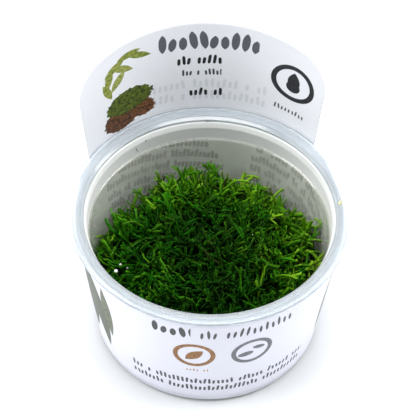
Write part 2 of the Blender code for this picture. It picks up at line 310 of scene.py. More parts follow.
# By side, in the order right, back, left, front: the height in mm where the cushion meets the wall, how fresh
# and lit the growth is painted there (near none at the front, which is painted shade), how upright and how
# splayed the ribbons stand, and how even their painted brightness is.
EDGE_HEIGHTS = (26.0, 26.6, 27.4, 37.0)
FRESHNESS_AND_SHADE = (0.68, 0.68, 0.56, 0.04)
UPRIGHT = (0.0, 0.2, -0.2, 0.55)
SPLAY = (0.6, 0.35, 0.95, -0.1)
EVENNESS = (0.6, 0.6, 0.35, 0.45)
EDGE_DIP = 4.5
MIDDLE_FRESHNESS_AND_LIGHT = 0.4
draw = np.random.default_rng(SEED)


def by_side(angle, right, back, left, front):
    """A value for each plan angle from its four sides' values, blended by squared cosines."""
    east, north = np.cos(angle), np.sin(angle)
    return (
        right * np.clip(east, 0, None) ** 2
        + left * np.clip(-east, 0, None) ** 2
        + back * np.clip(north, 0, None) ** 2
        + front * np.clip(-north, 0, None) ** 2
    )


def edge_height(angle):
    """Height in mm where the cushion meets the wall, less a dip between the back and each side, sin²(2 a)."""
    dip = EDGE_DIP * np.sin(2 * angle) ** 2 * (np.sin(angle) > 0)
    return by_side(angle, *EDGE_HEIGHTS) - dip


def lumps(x, y):
    """Soft tufts over the plan: a sum of turned cosine waves 8 to 26 mm long, from about -1 to 1."""
    total = np.zeros(np.shape(x))
    for length, heading, phase, weight in LUMP_WAVES:
        along = x * math.cos(heading) + y * math.sin(heading)
        total = total + weight * np.cos(along * 2 * np.pi / length + phase)
    return total


def cushion_top(x, y):
    """Height in mm of the cushion over a point of the plan: a dome from the wall's edge height to the crown,
    edge + (crown - edge) (1 - share^2.4), with the lumps on it at half their height near the wall."""
    edge = edge_height(np.arctan2(y, x))
    share = np.clip(np.hypot(x, y) / wall_radius(edge), 0, 1)
    return edge + (CROWN - edge) * (1 - share**DOME_POWER) + LUMP_HEIGHT * lumps(x, y) * (1 - 0.5 * share)


def freshness_and_side_shade(x, y):
    """How fresh and lit the growth is painted over the plan, up to 1: painted shade leaves the least in the
    crowded middle, and more by side with share^1.3 of the way to the wall, with the front kept in painted
    shade."""
    angle = np.arctan2(y, x)
    share = np.clip(np.hypot(x, y) / FLOOR_RADIUS, 0, 1)
    return MIDDLE_FRESHNESS_AND_LIGHT + share**1.3 * by_side(angle, *FRESHNESS_AND_SHADE)


def unit(vectors):
    """Vectors of length one."""
    return vectors / np.linalg.norm(vectors, axis=-1, keepdims=True)


def turned_about(vectors, axes, angles):
    """Vectors turned about unit axes by angles: v cos + (k × v) sin + k (k · v) (1 - cos)."""
    cos, sin = np.cos(angles)[:, None], np.sin(angles)[:, None]
    along = (vectors * axes).sum(-1, keepdims=True)
    return vectors * cos + np.cross(axes, vectors) * sin + axes * along * (1 - cos)


def off_the_wall(points):
    """Points pushed straight in towards the axis where they would come nearer the tub's wall than the gap."""
    reach = np.hypot(points[..., 0], points[..., 1])
    limit = wall_radius(np.minimum(points[..., 2], LEDGE_HEIGHT)) - WALL_GAP
    scale = np.minimum(1.0, limit / np.maximum(reach, 1e-6))
    return np.concatenate([points[..., :2] * scale[..., None], points[..., 2:]], -1)


# Each kind of limb: its stations as shares of its length, its width there, and the ranges in mm and radians
# that its length, its curl and its lift are drawn from.
TIP_WIDTH = 0.97
TIP_SHARES = (0.0, 0.25, 0.5, 0.75, 0.95, 1.0)
TIP_TAPERS = (0.9, 0.86, 0.86, 0.9, 0.98, 0.84)
STEM = ((0.0, 0.3, 0.65, 1.0), (0.85, 0.92, 0.92, 1.08), (5.5, 10.0), (-1.2, 1.2), (-0.9, 1.1))
ARM = ((0.0, 0.35, 0.7, 1.0), (0.9, 0.86, 0.88, 1.05), (3.5, 6.5), (-0.8, 2.0), (-0.8, 1.0))
TIP = (TIP_SHARES, TIP_TAPERS, (2.4, 7.5), (-1.4, 3.0), (-1.0, 1.5))
LONE_TIP = (TIP_SHARES, TIP_TAPERS, (4.5, 11.5), (-1.8, 3.4), (-1.2, 1.8))
THICKNESS = 0.6
FORK_SPREAD = (0.25, 0.5)


def limb(state, size, width, kind, against=1.0):
    """One stretch of ribbon for every thallus at once. From station to station the heading turns by the
    curl, times `against`, about the flat's normal, and by the lift towards it. A station is a triangle: the
    ribbon's two edges, and a keel below its middle."""
    place, heading, flat = state
    shares, tapers, lengths, curls, lifts = kind
    length = size * draw.uniform(*lengths, len(size))
    curl = against * draw.uniform(*curls, len(size))
    lift = draw.uniform(*lifts, len(size))
    rings, before = [], 0.0
    for share, taper in zip(shares, tapers):
        step = share - before
        before = share
        heading = turned_about(heading, flat, curl * step)
        side = np.cross(flat, heading)
        heading = unit(turned_about(heading, side, -lift * step))
        flat = unit(turned_about(flat, side, -lift * step))
        place = place + heading * (length * step)[:, None]
        half = (width * taper / 2)[:, None]
        rings.append(np.stack([place - side * half, place + side * half, place - flat * half * THICKNESS], 1))
    return off_the_wall(np.stack(rings, 1)), (place, heading, flat)


def limb_faces(count, stations):
    """Quads round each limb's three sides, and a triangle at each end."""
    index = np.arange(count * stations * 3).reshape(count, stations, 3)
    beside = np.roll(index, -1, axis=2)
    quads = np.stack([index[:, :-1], index[:, 1:], beside[:, 1:], beside[:, :-1]], -1).reshape(-1, 4)
    ends = np.concatenate([index[:, 0], index[:, -1, ::-1]])
    return quads, ends


def fork(state, spread):
    """The start of an arm: the ribbon's end, with its heading turned in its own plane."""
    place, heading, flat = state
    return place, turned_about(heading, flat, spread), flat


def thallus(state, size, width, forks):
    """The limbs of forked thalli, each with its shares of the way to the tips: a stem, two arms, and two tips
    on each arm that `forks` counts (0 none, 1 the first, 2 both). An arm without tips is one long tip."""
    turn = draw.choice([-1.0, 1.0], len(size))
    ring, end = limb(state, size, width, STEM)
    limbs = [(ring, 0.0, 0.5)]
    for hand in (0, 1):
        spread = (turn if hand else -turn) * draw.uniform(*FORK_SPREAD, len(size))
        if hand >= forks:
            ring, _ = limb(fork(end, spread), size, width, LONE_TIP, -spread)
            limbs.append((ring, 0.5, 1.0))
            continue
        ring, arm_end = limb(fork(end, spread), size, width, ARM, -spread)
        limbs.append((ring, 0.5, 0.75))
        for way in (-1, 1):
            bend = way * draw.uniform(*FORK_SPREAD, len(size))
            ring, _ = limb(fork(arm_end, bend), size, width * TIP_WIDTH, TIP, -bend)
            limbs.append((ring, 0.75, 1.0))
    return limbs


# Painted shade: a ribbon's colour keeps full light 2 mm above the cushion's top and darkens straight to
# nothing in a little over this depth in mm.
LIGHT_START = 2.0
LIGHT_DEPTH = 9.0
TOP_LIGHT = 1.08
OLD_SHARE = 0.4


def gathered(limbs, tint, shade):
    """All limbs as one mesh's arrays: points, quads, end triangles, and each point's growth with painted
    shade (0 old and dark, 1 fresh and lit) and tint. It is the side's freshness and painted shade, times (0.4
    +
    0.6 age), times painted shade by the point's depth under the cushion's top, times the thallus's own
    painted brightness."""
    parts = []
    start = 0
    for ring, root, tip in limbs:
        stations = ring.shape[1]
        quads, ends = limb_faces(len(ring), stations)
        points = ring.reshape(-1, 3)
        age = np.broadcast_to(np.linspace(root, tip, stations)[None, :, None], ring.shape[:3]).ravel()
        depth = cushion_top(points[:, 0], points[:, 1]) + LIGHT_START - points[:, 2]
        # Painted shade: the colour darkens with the point's depth under the cushion's top.
        light = np.clip(TOP_LIGHT - depth / LIGHT_DEPTH, 0, 1)
        own = np.repeat(shade, stations * 3)
        ripe = OLD_SHARE + (1 - OLD_SHARE) * age
        growth_and_shade = freshness_and_side_shade(points[:, 0], points[:, 1]) * ripe * light * own
        parts.append((points, quads + start, ends + start, growth_and_shade, np.repeat(tint, stations * 3)))
        start += len(points)
    return [np.concatenate(column) for column in zip(*parts)]


def ribbon_mesh(name, points, quads, ends, growth_and_shade, tint):
    """A mesh of ribbons whose points carry their growth with its painted shade, and their tint, to the
    material.
    """
    piece = mesh_object(name, points, (quads, ends), [living])
    for label, values in (("growth_and_shade", growth_and_shade), ("tint", tint)):
        attribute = piece.data.attributes.new(label, "FLOAT", "POINT")
        attribute.data.foreach_set("value", values.astype(np.float32))
    return piece


# Wet living liverwort, in ribbons that let light through: painted near black-green where it is old and deep
# in the cushion's shade, pure green to yellow-green at the fresh tips, and a few strands gone dull and dark.
SHADE_GREENS = ("#061402", "#082403", "#0c3803", "#1b5a06", "#347c0e")
SUN_GREENS = ("#0c1603", "#162c03", "#305205", "#588411", "#88ae28")
WITHERED_GREEN = "#1f280a"
living, tree, shader = new_material(
    "living_thallus",
    Roughness=0.45,
    IOR=1.38,
    Specular_IOR_Level=0.06,
    Subsurface_Weight=0.3,
    Subsurface_Scale=0.8 * MM,
)
shader.inputs["Subsurface Radius"].default_value = (0.5, 1.0, 0.2)
growth_and_shade = add_node(tree, "Attribute", attribute_name="growth_and_shade").outputs["Fac"]
tint = add_node(tree, "Attribute", attribute_name="tint").outputs["Fac"]
leaf_ends = []
for codes in (SHADE_GREENS, SUN_GREENS):
    ramp = add_node(tree, "ValToRGB", {"Fac": growth_and_shade})
    stops = ramp.color_ramp.elements
    for place in (0.25, 0.5, 0.75):
        stops.new(place)
    for stop, code in zip(stops, codes):
        stop.color = linear(code)
    leaf_ends.append(ramp.outputs["Color"])
ends = {0: tint, 6: leaf_ends[0], 7: leaf_ends[1]}
leaf = add_node(tree, "Mix", ends, data_type="RGBA").outputs[2]
withered = add_node(tree, "Math", {0: tint, 1: 0.02}, operation="LESS_THAN").outputs[0]
ends = {0: withered, 6: leaf, 7: linear(WITHERED_GREEN)}
leaf = add_node(tree, "Mix", ends, data_type="RGBA").outputs[2]
tree.links.new(leaf, shader.inputs["Base Color"])

# Tufts stand at the golden angle over the plan, and each thallus starts near its own tuft's middle, under the
# cushion's top. Its heading is its tuft's lean and its own wander, splayed outwards and raised by side.
number = np.arange(TUFTS)
tuft_share = np.sqrt((number + 0.5) / TUFTS)
tuft_around = number * np.pi * (3 - math.sqrt(5)) + draw.normal(0, 0.06, TUFTS)
tuft_reach = tuft_share * (wall_radius(edge_height(tuft_around)) - TUFT_MARGIN)
tuft_lean = unit(draw.normal(0, 1, (TUFTS, 3))) * [0.8, 0.8, 0.4]
home = np.arange(THALLI) % TUFTS
x = (tuft_reach * np.cos(tuft_around))[home] + draw.normal(0, TUFT_SPREAD, THALLI)
y = (tuft_reach * np.sin(tuft_around))[home] + draw.normal(0, TUFT_SPREAD, THALLI)
around = np.arctan2(y, x)
limit = wall_radius(edge_height(around)) - THALLUS_MARGIN
share = np.minimum(np.hypot(x, y) / limit, 1.0)
x, y = share * limit * np.cos(around), share * limit * np.sin(around)
outward = np.stack([np.cos(around), np.sin(around), np.zeros(THALLI)], -1)
upright = 0.4 + share**2 * by_side(around, *UPRIGHT)
splay = share**1.5 * by_side(around, *SPLAY)
wander = tuft_lean[home] * 0.75 + unit(draw.normal(0, 1, (THALLI, 3))) * [0.6, 0.6, 0.35]
headings = unit(wander + outward * splay[:, None] + np.array([0.0, 0.0, 1.0]) * upright[:, None])
flats = unit(np.cross(headings, unit(draw.normal(0, 1, (THALLI, 3)))))
sizes = draw.uniform(*THALLUS_SIZES, THALLI)
middles = np.stack([x, y, cushion_top(x, y) - draw.gamma(*DEPTHS, THALLI)], -1)
roots = middles - headings * (sizes * ROOT_REACH)[:, None]
widths = draw.uniform(*THALLUS_WIDTHS, THALLI)
# A thallus out in the light is painted brighter than the rest, and the rest are painted darker as in shade.
# The tint goes to yellow-green on the right and at the back, and a withered thallus has a tint of 0.
in_light = draw.uniform(0, 1, THALLI) < LIT_SHARE
painted_shades = np.where(in_light, draw.uniform(1.0, 1.3, THALLI), draw.uniform(0.55, 0.92, THALLI))
painted_shades **= 1 - share**2 * by_side(around, *EVENNESS)
tints = np.clip(draw.normal(0.22, 0.18, THALLI) + 0.16 * x / 40 + 0.14 * y / 40, 0.03, 1.0)
tints[draw.uniform(0, 1, THALLI) < WITHERED_SHARE] = 0.0
# One piece for the middle of the cushion, and one for each quarter round it.
quarter = ((around + np.pi / 4) % (2 * np.pi) // (np.pi / 2)).astype(int)
region = np.where(share < CENTRE_SHARE, 0, 1 + quarter)
forking = draw.choice(3, THALLI, p=FORK_SHARES)
ribbon_points = []
names = ("thalli_centre", "thalli_right", "thalli_back", "thalli_left", "thalli_front")
for number, name in enumerate(names):
    parts = []
    for forks in range(3):
        chosen = np.flatnonzero((region == number) & (forking == forks))
        state = (roots[chosen], headings[chosen], flats[chosen])
        grown = thallus(state, sizes[chosen], widths[chosen], forks)
        parts.append(gathered(grown, tints[chosen], painted_shades[chosen]))
    starts = np.cumsum([0] + [len(part[0]) for part in parts])
    points, growth_and_shade, tint = [np.concatenate([part[k] for part in parts]) for k in (0, 3, 4)]
    quads, ends = [
        np.concatenate([part[k] + start for part, start in zip(parts, starts)]) for k in (1, 2)
    ]
    ribbon_points.append(points)
    tuft = ribbon_mesh(name, points, quads, ends, growth_and_shade, tint)
    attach(tuft, "root")
    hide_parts("crystalwort")

# Long thalli
# Some ribbons have outgrown the cushion: they lie over it in the light, or lean on the wall round its edge.
# They are of the same living thallus, with painted light making them a little brighter, and each starts where
# it leaves the cushion.
DIVE = 4.0
ROUTE_STATIONS = 22
ROUTE_TAPER = ((0, 0.15, 0.5, 0.95, 1), (0.75, 0.9, 0.95, 1.0, 0.6))
LONG_PAINTED_LIGHT = 1.27
# Each ribbon: its width in mm, its tint, and its route.
LONG_THALLI = (
    (0.95, 0.55, (
        (27.5, 15, 36), (32.5, 18.5, 30.5), (37, 17.5, 30),
        (40, 10.5, 34.5), (41.5, 6, 41), (41.5, 5.5, 44.5),
    )),
    (0.8, 0.5, ((41.5, 6, 41.5), (41, 8, 41), (40, 10.5, 39.5))),
    (1.0, 0.6, ((32, 19, 30.5), (34.5, 21.5, 29), (36, 19.5, 32), (37, 17.5, 32.5))),
    (0.95, 0.4, ((34.5, 2.5, 35), (36.5, 7, 32.5), (38, 10.5, 30.5), (39, 12, 31.5))),
    (0.8, 0.4, ((36, 4.5, 33.5), (37.5, 5.5, 32), (39.5, 8, 30))),
    (0.9, 0.35, ((35, -1.5, 35), (38, -0.5, 33), (40, -2, 31.5), (40, -5.5, 31.5))),
    (0.95, 0.75, ((20, 35.5, 31), (21.5, 34.5, 29), (24.5, 32.5, 28.5), (27, 30.5, 28), (30.5, 27, 29))),
    (0.85, 0.6, ((22, 34.5, 29), (23.5, 33.5, 31.5), (25.5, 32, 32.5))),
    (0.85, 0.65, ((16, 37.5, 30.5), (17, 37.5, 33.5), (20, 36, 35.5), (22.5, 34.5, 35.5))),
    (0.9, 0.7, ((24.5, 15.5, 39.5), (23.5, 10, 41), (25.5, 9, 39.5), (25.5, 6.5, 40))),
    (0.85, 0.7, ((24, 10, 41), (26, 12, 39.5))),
    (0.9, 0.45, ((-37, 7, 34.5), (-37.5, 13, 31.5), (-38.5, 13.5, 33), (-40.5, 9, 38))),
    (0.85, 0.4, ((-37.5, 3, 35), (-39.5, 5, 33.5), (-40.5, 3.5, 32.5))),
    (0.95, 0.45, ((-37, 9, 34), (-35.5, 14.5, 31.5), (-35.5, 19.5, 28.5))),
    (0.95, 0.45, ((-36, 10, 34), (-34.5, 9.5, 35.5), (-33.5, 13.5, 34))),
    (0.85, 0.3, ((-27, 20.5, 33.5), (-29.5, 26, 28.5), (-32.5, 24.5, 30))),
    (1.0, 0.45, ((-24.5, -2, 41.5), (-24, -5.5, 42.5), (-22.5, -9, 44))),
    (0.95, 0.3, ((-20.5, -5.5, 43), (-20, -3, 43), (-18.5, -2, 43.5), (-16.5, -2, 45))),
    (0.9, 0.5, (
        (-18.5, -11.5, 44.5), (-16, -11, 44), (-14.5, -13, 43.5),
        (-12.5, -15.5, 44), (-10.5, -19.5, 45),
    )),
    (0.8, 0.35, ((-2, -5.5, 49), (1, -2, 47), (3, 0, 47), (6.5, 3.5, 44.5))),
    (0.75, 0.95, ((15.5, -25.5, 43), (17, -20, 44.5), (18.5, -14, 43), (18, -9.5, 43.5), (18, -5.5, 44))),
    (1.1, 0.9, ((15.5, -24, 43.5), (15, -22, 44), (15, -20.5, 44.5))),
    (0.95, 0.7, ((18, -18, 43.5), (19, -13.5, 43.5), (21, -11, 43))),
    (0.95, 0.2, ((11.5, -28.5, 43.5), (10, -26.5, 44.5), (9, -24.5, 45), (9.5, -17, 44.5), (8, -14.5, 45.5))),
    (0.9, 0.25, ((9.5, -17.5, 44.5), (10, -16, 45), (10, -14.5, 45))),
    (0.8, 0.55, ((27, -19.5, 40), (29, -15, 39), (30.5, -10, 38.5))),
    (0.8, 0.55, ((28.5, -16, 39.5), (30, -13.5, 38.5), (32, -12, 38))),
    (0.9, 0.5, ((5.5, 40.5, 31), (5, 41, 35), (3.5, 41, 38.5))),
    (0.8, 0.5, ((5, 41, 34.5), (5.5, 41, 38))),
    (0.9, 0.3, ((-0.5, 41, 31), (-2, 41, 35), (-2.5, 41, 37))),
    (0.85, 0.3, ((-14.5, 38.5, 31.5), (-15, 38.5, 35.5), (-16.5, 38, 39))),
    (0.85, 0.25, ((-5.5, 40.5, 31), (-6.5, 40.5, 34), (-7.5, 40.5, 36))),
    (0.85, 0.55, ((-26.5, -22.5, 40), (-26, -20, 40.5), (-26.5, -18, 41))),
    (0.85, 0.55, ((-26, -20, 40.5), (-25, -19.5, 41.5))),
)


def smooth_route(points, count):
    """A Catmull-Rom curve: on the span from p1 to p2, half of 2 p1 + (p2 - p0) t + (2 p0 - 5 p1 + 4 p2 -
    p3) t² + (3 p1 - p0 - 3 p2 + p3) t³, with the end spans' missing points set by carrying their line
    on."""
    path = np.concatenate([[2 * points[0] - points[1]], points, [2 * points[-1] - points[-2]]])
    place = np.linspace(0, len(points) - 1 - 1e-6, count)
    span = place.astype(int)
    t = (place - span)[:, None]
    p0, p1, p2, p3 = (path[span + k] for k in range(4))
    square, cube = 2 * p0 - 5 * p1 + 4 * p2 - p3, 3 * p1 - p0 - 3 * p2 + p3
    return 0.5 * (2 * p1 + (p2 - p0) * t + square * t**2 + cube * t**3)


def long_ribbon(route, width):
    """A ribbon along a route that dives into the cushion at its root. Its flat side faces up and to the
    axis."""
    points = np.array(route, float)
    root = points[0] + (points[0] - points[1]) * 0.3 - [0, 0, DIVE]
    line = smooth_route(np.concatenate([[root], points]), ROUTE_STATIONS)
    heading = unit(np.gradient(line, axis=0))
    inward = np.concatenate([-line[:, :2] / FLOOR_RADIUS, np.ones((len(line), 1))], 1)
    side = unit(np.cross(inward, heading))
    flat = np.cross(heading, side)
    half = (width / 2 * np.interp(np.linspace(0, 1, len(line)), *ROUTE_TAPER))[:, None]
    ring = np.stack([line - side * half, line + side * half, line - flat * half * THICKNESS], 1)
    return off_the_wall(ring)[None]


rings = np.concatenate([long_ribbon(route, width) for width, _, route in LONG_THALLI])
long_tints = np.array([tint for _, tint, _ in LONG_THALLI])
long_painted_shades = np.full(len(rings), LONG_PAINTED_LIGHT)
points, quads, ends, growth_and_shade, tint = gathered([(rings, 0.5, 1.0)], long_tints, long_painted_shades)
strays = ribbon_mesh("long_thalli", points, quads, ends, growth_and_shade, tint)
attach(strays, "root")
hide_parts("crystalwort")
every_ribbon = np.concatenate([*ribbon_points, points])

# Beads and crumbs
# Water clings to the ribbons in round beads, crumbs of white gel came up with the plant, and scraps of torn
# thallus stick to the plastic. A bead or crumb lies on the nearest ribbon: x, y, z and radius in mm.
WATER_BEADS = (
    (30.3, 6.5, 36.7, 0.42),
    (29.9, 0.3, 39.7, 0.45),
    (15.7, 0.1, 44.8, 0.4),
    (0.6, 17.7, 42.3, 0.42),
    (9.6, -9.5, 44.5, 0.35),
    (-4.2, -9.4, 46.2, 0.38),
    (21.0, -5.6, 42.7, 0.36),
    (20.2, 7.5, 42.9, 0.4),
)
GEL_CRUMBS = ((-33.8, -7.7, 38.2, 0.74), (-32.6, -6.0, 38.6, 0.5), (-31.6, -7.4, 39.4, 0.42))
# Each scrap: its middle, its long way, and its half sizes along, across and deep, in mm.
GREEN_SCRAPS = (
    ((3.2, 45.12, 57.7), (1.0, 0.0, 0.2), (0.5, 0.24, 0.18)),
    ((4.8, 45.0, 57.75), (0.6, 0.1, 1.0), (0.3, 0.2, 0.16)),
    ((-19.9, 39.6, 55.0), (0.5, 0.2, 1.0), (0.5, 0.24, 0.18)),
    ((-18.5, 40.2, 51.6), (1.0, 0.3, 0.2), (0.36, 0.2, 0.16)),
    ((-23.4, 37.4, 52.6), (-0.25, -0.2, 1.0), (1.5, 0.14, 0.12)),
    ((20.5, 40.0, 53.2), (0.9, -0.4, 0.1), (0.4, 0.16, 0.14)),
)
YELLOW_SCRAPS = (((47.2, 0.7, 59.45), (0.6, 1.0, 0.0), (1.0, 0.42, 0.18)),)
KNOB_ROWS = 7
KNOB_COLUMNS = 10


def round_faces(rows, columns):
    """Quads between rings of points, and fans to the two points that follow them, the top and the foot."""
    index = np.arange(rows * columns).reshape(rows, columns)
    beside = np.roll(index, -1, axis=1)
    quads = np.stack([index[:-1], index[1:], beside[1:], beside[:-1]], -1).reshape(-1, 4)
    top = np.full(columns, index.size)
    fans = [np.stack([top, index[0], beside[0]], -1), np.stack([top + 1, beside[-1], index[-1]], -1)]
    return quads, np.concatenate(fans)


def knobs(middles, ways, sizes):
    """Low round bodies, one for each row: a ball with r = 1 + 0.12 sin(3 a + 5 b) sin b, where a goes round
    and b goes down, stretched along the way and flattened down."""
    falls = np.linspace(0, np.pi, KNOB_ROWS + 2)[1:-1]
    turns = np.linspace(0, 2 * np.pi, KNOB_COLUMNS, endpoint=False)
    down, around = np.meshgrid(falls, turns, indexing="ij")
    swell = 1 + 0.12 * np.sin(3 * around + 5 * down) * np.sin(down)
    ball = np.stack([np.sin(down) * np.cos(around), np.sin(down) * np.sin(around), np.cos(down)], -1)
    ball = np.concatenate([(ball * swell[..., None]).reshape(-1, 3), [[0, 0, 1], [0, 0, -1]]])
    along = unit(np.asarray(ways, float))
    across = unit(np.cross([0.02, 0.01, 1.0], along + [0.001, 0.002, 0.0]))
    axes = np.stack([along, across, np.cross(along, across)], 1) * np.asarray(sizes, float)[:, :, None]
    points = np.asarray(middles, float)[:, None] + ball @ axes
    quads, fans = round_faces(KNOB_ROWS, KNOB_COLUMNS)
    start = np.arange(len(points))[:, None, None] * len(ball)
    return points.reshape(-1, 3), (start + quads).reshape(-1, 4), (start + fans).reshape(-1, 3)


def on_ribbons(places, radius):
    """Middles of bodies that lie on the ribbons: the nearest ribbon's point to each place, a radius higher
    and 0.3 of one nearer the front."""
    away = np.linalg.norm(every_ribbon[None] - places[:, None], axis=2)
    return every_ribbon[away.argmin(1)] + [0, -0.3, 1.0] * radius


def clouded(name, first, second, grain, detail=2.0, **values):
    """A material whose colour drifts between two hex codes in soft clouds of a grain in mm."""
    material, tree, shader = new_material(name, **values)
    place = add_node(tree, "TexCoord").outputs["Object"]
    noise = {"Vector": place, "Scale": 1 / (grain * MM), "Detail": detail}
    cloud = add_node(tree, "TexNoise", noise).outputs["Fac"]
    tones = {0: cloud, 6: linear(first), 7: linear(second)}
    tone = add_node(tree, "Mix", tones, data_type="RGBA").outputs[2]
    tree.links.new(tone, shader.inputs["Base Color"])
    return material


# Clean water: clear drops with a sharp glint each.
bead_water = new_material("water_bead", Roughness=0.02, IOR=1.33, Transmission_Weight=1.0)[0]
# Broken gel: wet white specks, bright against the green.
crumb = clouded(
    "white_gel_crumb",
    "#f0f0ec",
    "#ffffff",
    0.7,
    Roughness=0.35,
    Subsurface_Weight=0.15,
    Subsurface_Scale=0.4 * MM,
)
# Torn thallus: dull dark green where it is still wet, and straw yellow where it has dried.
torn = clouded("torn_green_thallus", "#101c08", "#2c4416", 0.8, Roughness=0.5)
dried = clouded("dried_yellow_thallus", "#a8983a", "#e2d894", 0.8, Roughness=0.5)
small = []
for name, material, bodies, node, slot in (
    ("water_beads", bead_water, WATER_BEADS, "crystalwort", "plant"),
    ("gel_crumbs", crumb, GEL_CRUMBS, "nutrient_gel", "gel"),
):
    places, radius = np.split(np.array(bodies), [3], axis=1)
    ways = [[1.0, 0.2, 0.1]] * len(bodies)
    small.append((name, material, (on_ribbons(places, radius), ways, radius * [1, 0.95, 0.9]), node, slot))
small.append(("green_scraps", torn, zip(*GREEN_SCRAPS), "crystalwort", "plant"))
small.append(("yellow_scraps", dried, zip(*YELLOW_SCRAPS), "crystalwort", "plant"))
for name, material, shape, node, slot in small:
    points, quads, fans = knobs(*shape)
    piece = mesh_object(name, points, (quads, fans), [material])
    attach(piece, "root")
    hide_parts(node)

# Old growth, in painted shade
# The inside of the cushion is old thallus, matted, grown together from the gel up to just under the tips. It
# is one lumpy body, painted dark to stand as painted shade behind the gaps between the ribbons.
CORE_DEPTH = 7.0
CORE_FOOT = GEL_TOP + 1.1
CORE_GAP = 5.0
CROWN_RINGS = 39
SIDE_RINGS = 12
FOOT_RINGS = 8
CORE_COLUMNS = 160


def core_body():
    """The cushion's inside: rings out over the crown, down beside the wall and back under the foot."""
    out = np.linspace(0, 1, CROWN_RINGS + 1)[1:] ** 0.9
    back = np.linspace(1, 0, FOOT_RINGS + 2)[1:-1]
    share = np.concatenate([out, np.ones(SIDE_RINGS), back])
    fall = np.linspace(0, 1, SIDE_RINGS + 1)[1:]
    down = np.concatenate([np.zeros(CROWN_RINGS), fall, np.ones(FOOT_RINGS)])[:, None]
    around = np.linspace(0, 2 * np.pi, CORE_COLUMNS, endpoint=False)
    reach = share[:, None] * (wall_radius(edge_height(around)) - CORE_GAP)[None]
    x, y = reach * np.sin(around), reach * np.cos(around)
    height = cushion_top(x, y) - CORE_DEPTH
    height = height + (CORE_FOOT - height) * down
    points = off_the_wall(np.stack([x, y, height], -1).reshape(-1, 3))
    ends = [[0, 0, cushion_top(0.0, 0.0) - CORE_DEPTH], [0, 0, CORE_FOOT]]
    quads, fans = round_faces(*x.shape)
    return np.concatenate([points, ends]), quads[:, ::-1], fans[:, ::-1]


# Matted old thallus in painted shade: a dull green so dark that the gaps between the ribbons read as deep
# shade.
painted_shade_matting = clouded(
    "old_growth_painted_shade", "#030a01", "#0b2604", 1.4, detail=4.0, Roughness=0.9, Specular_IOR_Level=0.05
)
points, quads, fans = core_body()
core = mesh_object("old_growth", points, (quads, fans), [painted_shade_matting])
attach(core, "root")
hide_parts("crystalwort")

# Sleeve
# One die-cut card, 0.3 mm thick, printed on both faces and glued into a cone round the tub. At the back it
# passes outside the flange and stands up as an arched tab.
CARD = 0.3
SLEEVE_FOOT = 1.5
SLEEVE_TOP = 56.8
FOOT_RADIUS = 41.0
FLARE = 0.138
TAB_RADIUS = 51.595
TAB_FLARE = 0.14
TAB_HALF = 54.0
TAB_PEAK = 99.9
TAB_SHOULDER = 84.2
ARCH_DROP = 5.6
CORNER_SPAN = 12.5
EASE_START = 56.0
EASE_SPAN = 20.0
BAND_ROWS = 16
TAB_ROWS = 18
PRINT_RADIUS = 46.0


def tab_top(angle):
    """The tab's outline by angle in degrees from its middle: an arch that falls with the angle squared,
    less a quarter round at each shoulder, 1 - sqrt(1 - s²)."""
    arch = TAB_PEAK - ARCH_DROP * (angle / TAB_HALF) ** 2
    into = np.clip(np.abs(angle) - (TAB_HALF - CORNER_SPAN), 0, None) / CORNER_SPAN
    fall = 1 - np.sqrt(np.clip(1 - into**2, 0, 1))
    return arch - fall * (TAB_PEAK - ARCH_DROP - TAB_SHOULDER)


def sleeve_radius(angle, height):
    """The card's outer radius: the cone, and over the back the tab's own cone. They blend by s² (3 - 2 s)
    round the card, times the share of the way up the band."""
    cone = FOOT_RADIUS + FLARE * (height - SLEEVE_FOOT)
    tab = TAB_RADIUS + TAB_FLARE * (height - FLANGE_HEIGHT)
    side = 1 - np.clip((np.abs(angle) - EASE_START) / EASE_SPAN, 0, 1)
    side = side**2 * (3 - 2 * side)
    up = np.clip((height - SLEEVE_FOOT) / (SLEEVE_TOP - SLEEVE_FOOT), 0, 1)
    return cone + (tab - cone) * side * up


